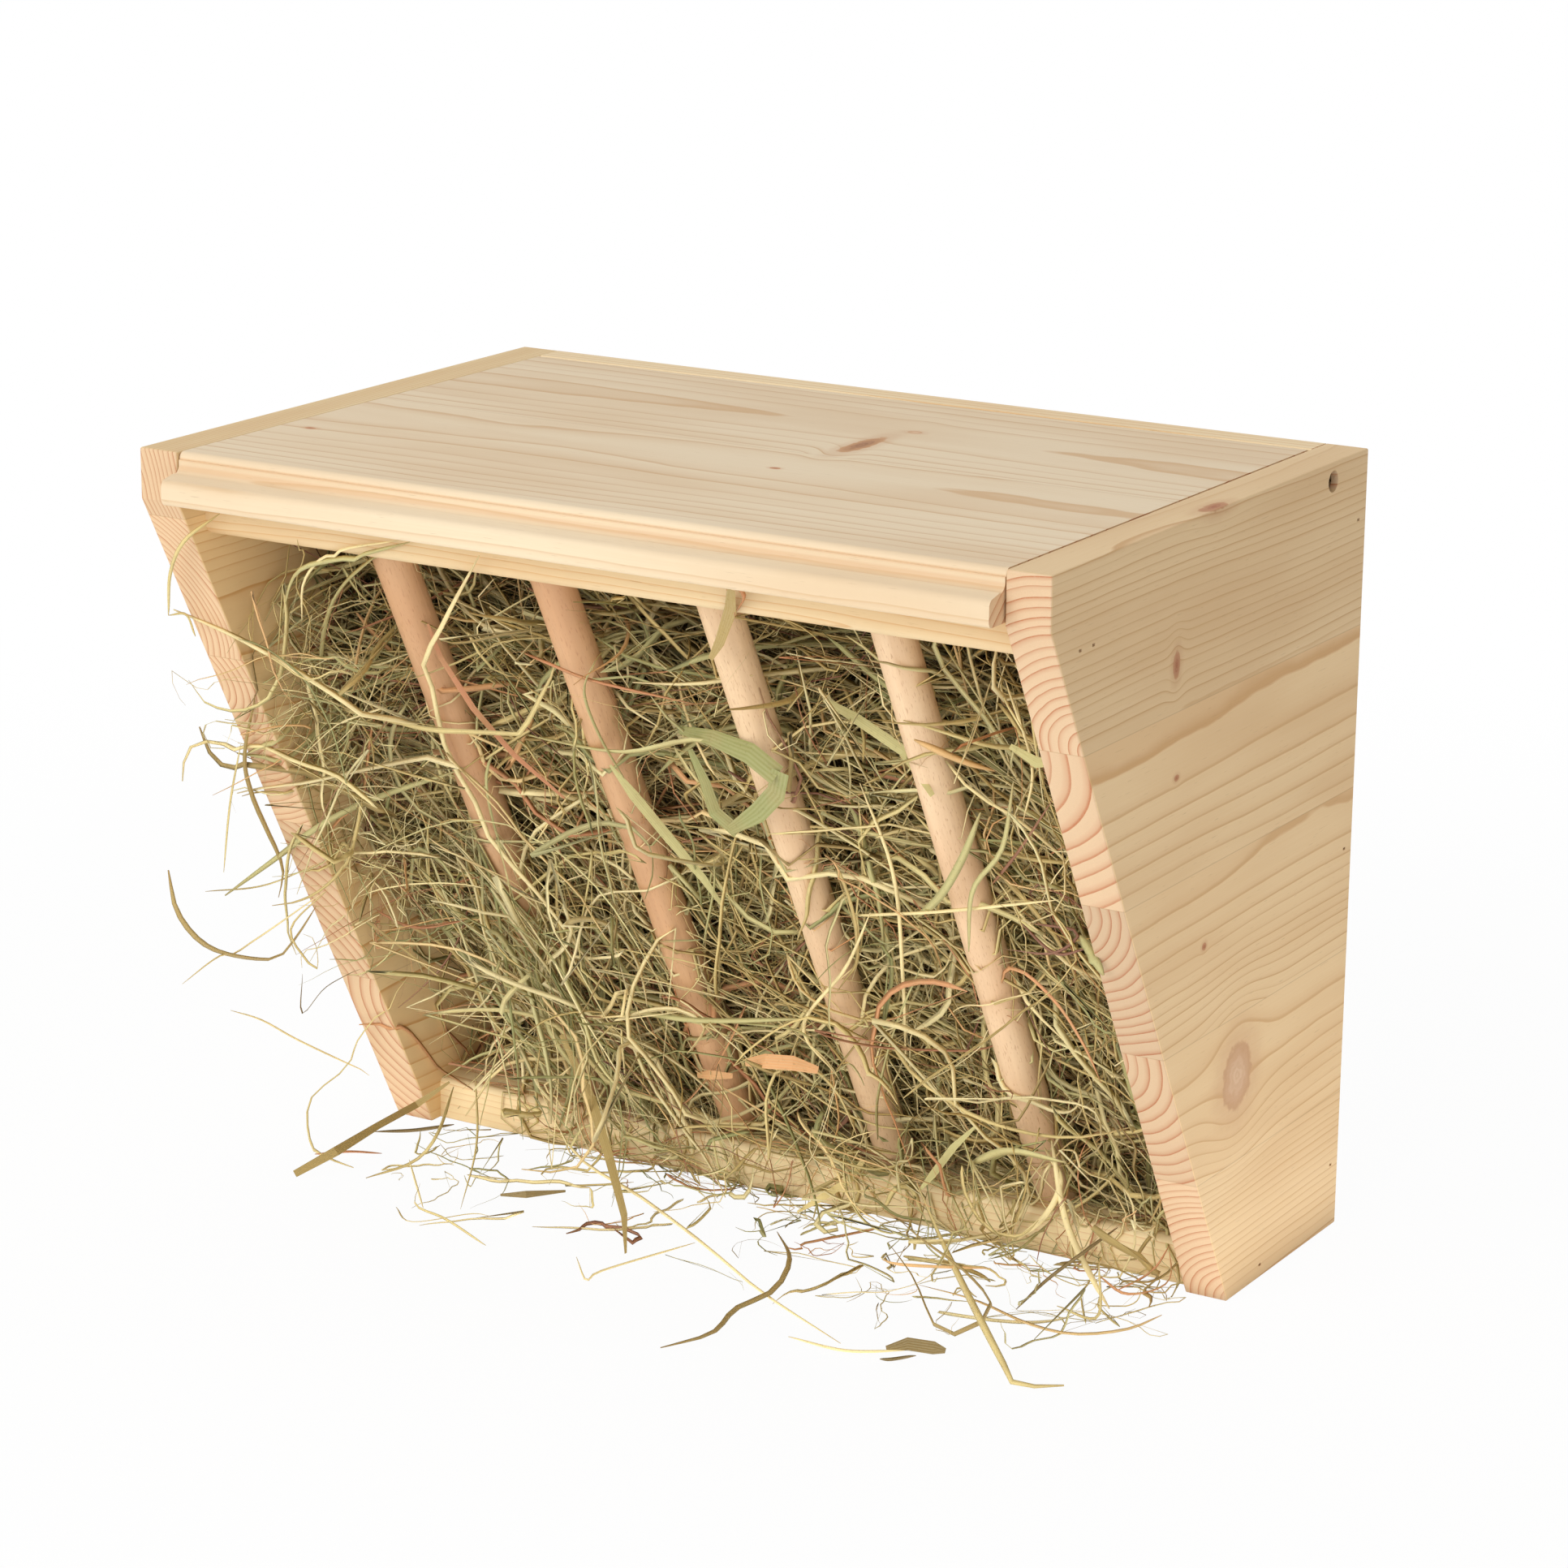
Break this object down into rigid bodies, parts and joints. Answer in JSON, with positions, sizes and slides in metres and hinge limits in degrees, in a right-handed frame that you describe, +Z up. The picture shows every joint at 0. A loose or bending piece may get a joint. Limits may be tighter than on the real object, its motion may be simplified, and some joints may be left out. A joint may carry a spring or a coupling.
{
  "type": "hay feeder box",
  "caption": "Wooden hay feeder box with sloping sides, a slanted dowel rack in front and a lid that lifts on two screws.",
  "frame": {"origin": "under the centre of the overall box, on the surface that the feeder stands on", "axes": "+Z up, +Y from the dowels to the back panel, +X across the width"},
  "size_m": [0.396, 0.2706, 0.32],
  "materials": {
    "spruce": "planed, unfinished, with growth rings and knots",
    "beech": "turned, unfinished, with fine flecks",
    "screw_metal": "dark bronze coating",
    "brad_steel": "dull"
  },
  "bodies": {
    "box": {"side_panel_left": "spruce", "side_panel_right": "spruce", "back_panel": "spruce", "floor_board": "spruce", "upper_rail": "spruce", "dowel_1": "beech", "dowel_2": "beech", "dowel_3": "beech", "dowel_4": "beech", "rail_brads_left": "brad_steel", "rail_brads_right": "brad_steel", "floor_brad_left": "brad_steel", "floor_brad_right": "brad_steel", "back_brads_left": "brad_steel", "back_brads_right": "brad_steel", "base_brads": "brad_steel"},
    "lid": {"lid_board": "spruce", "pivot_screw_left": "screw_metal", "pivot_screw_right": "screw_metal"}
  },
  "joints": [
    {"name": "lid_hinge", "type": "hinge", "parent": "box", "child": "lid", "pos_m": [0, 0.10325, 0.3125], "axis": [-1, 0, 0], "range_deg": [0, 130]}
  ]
}
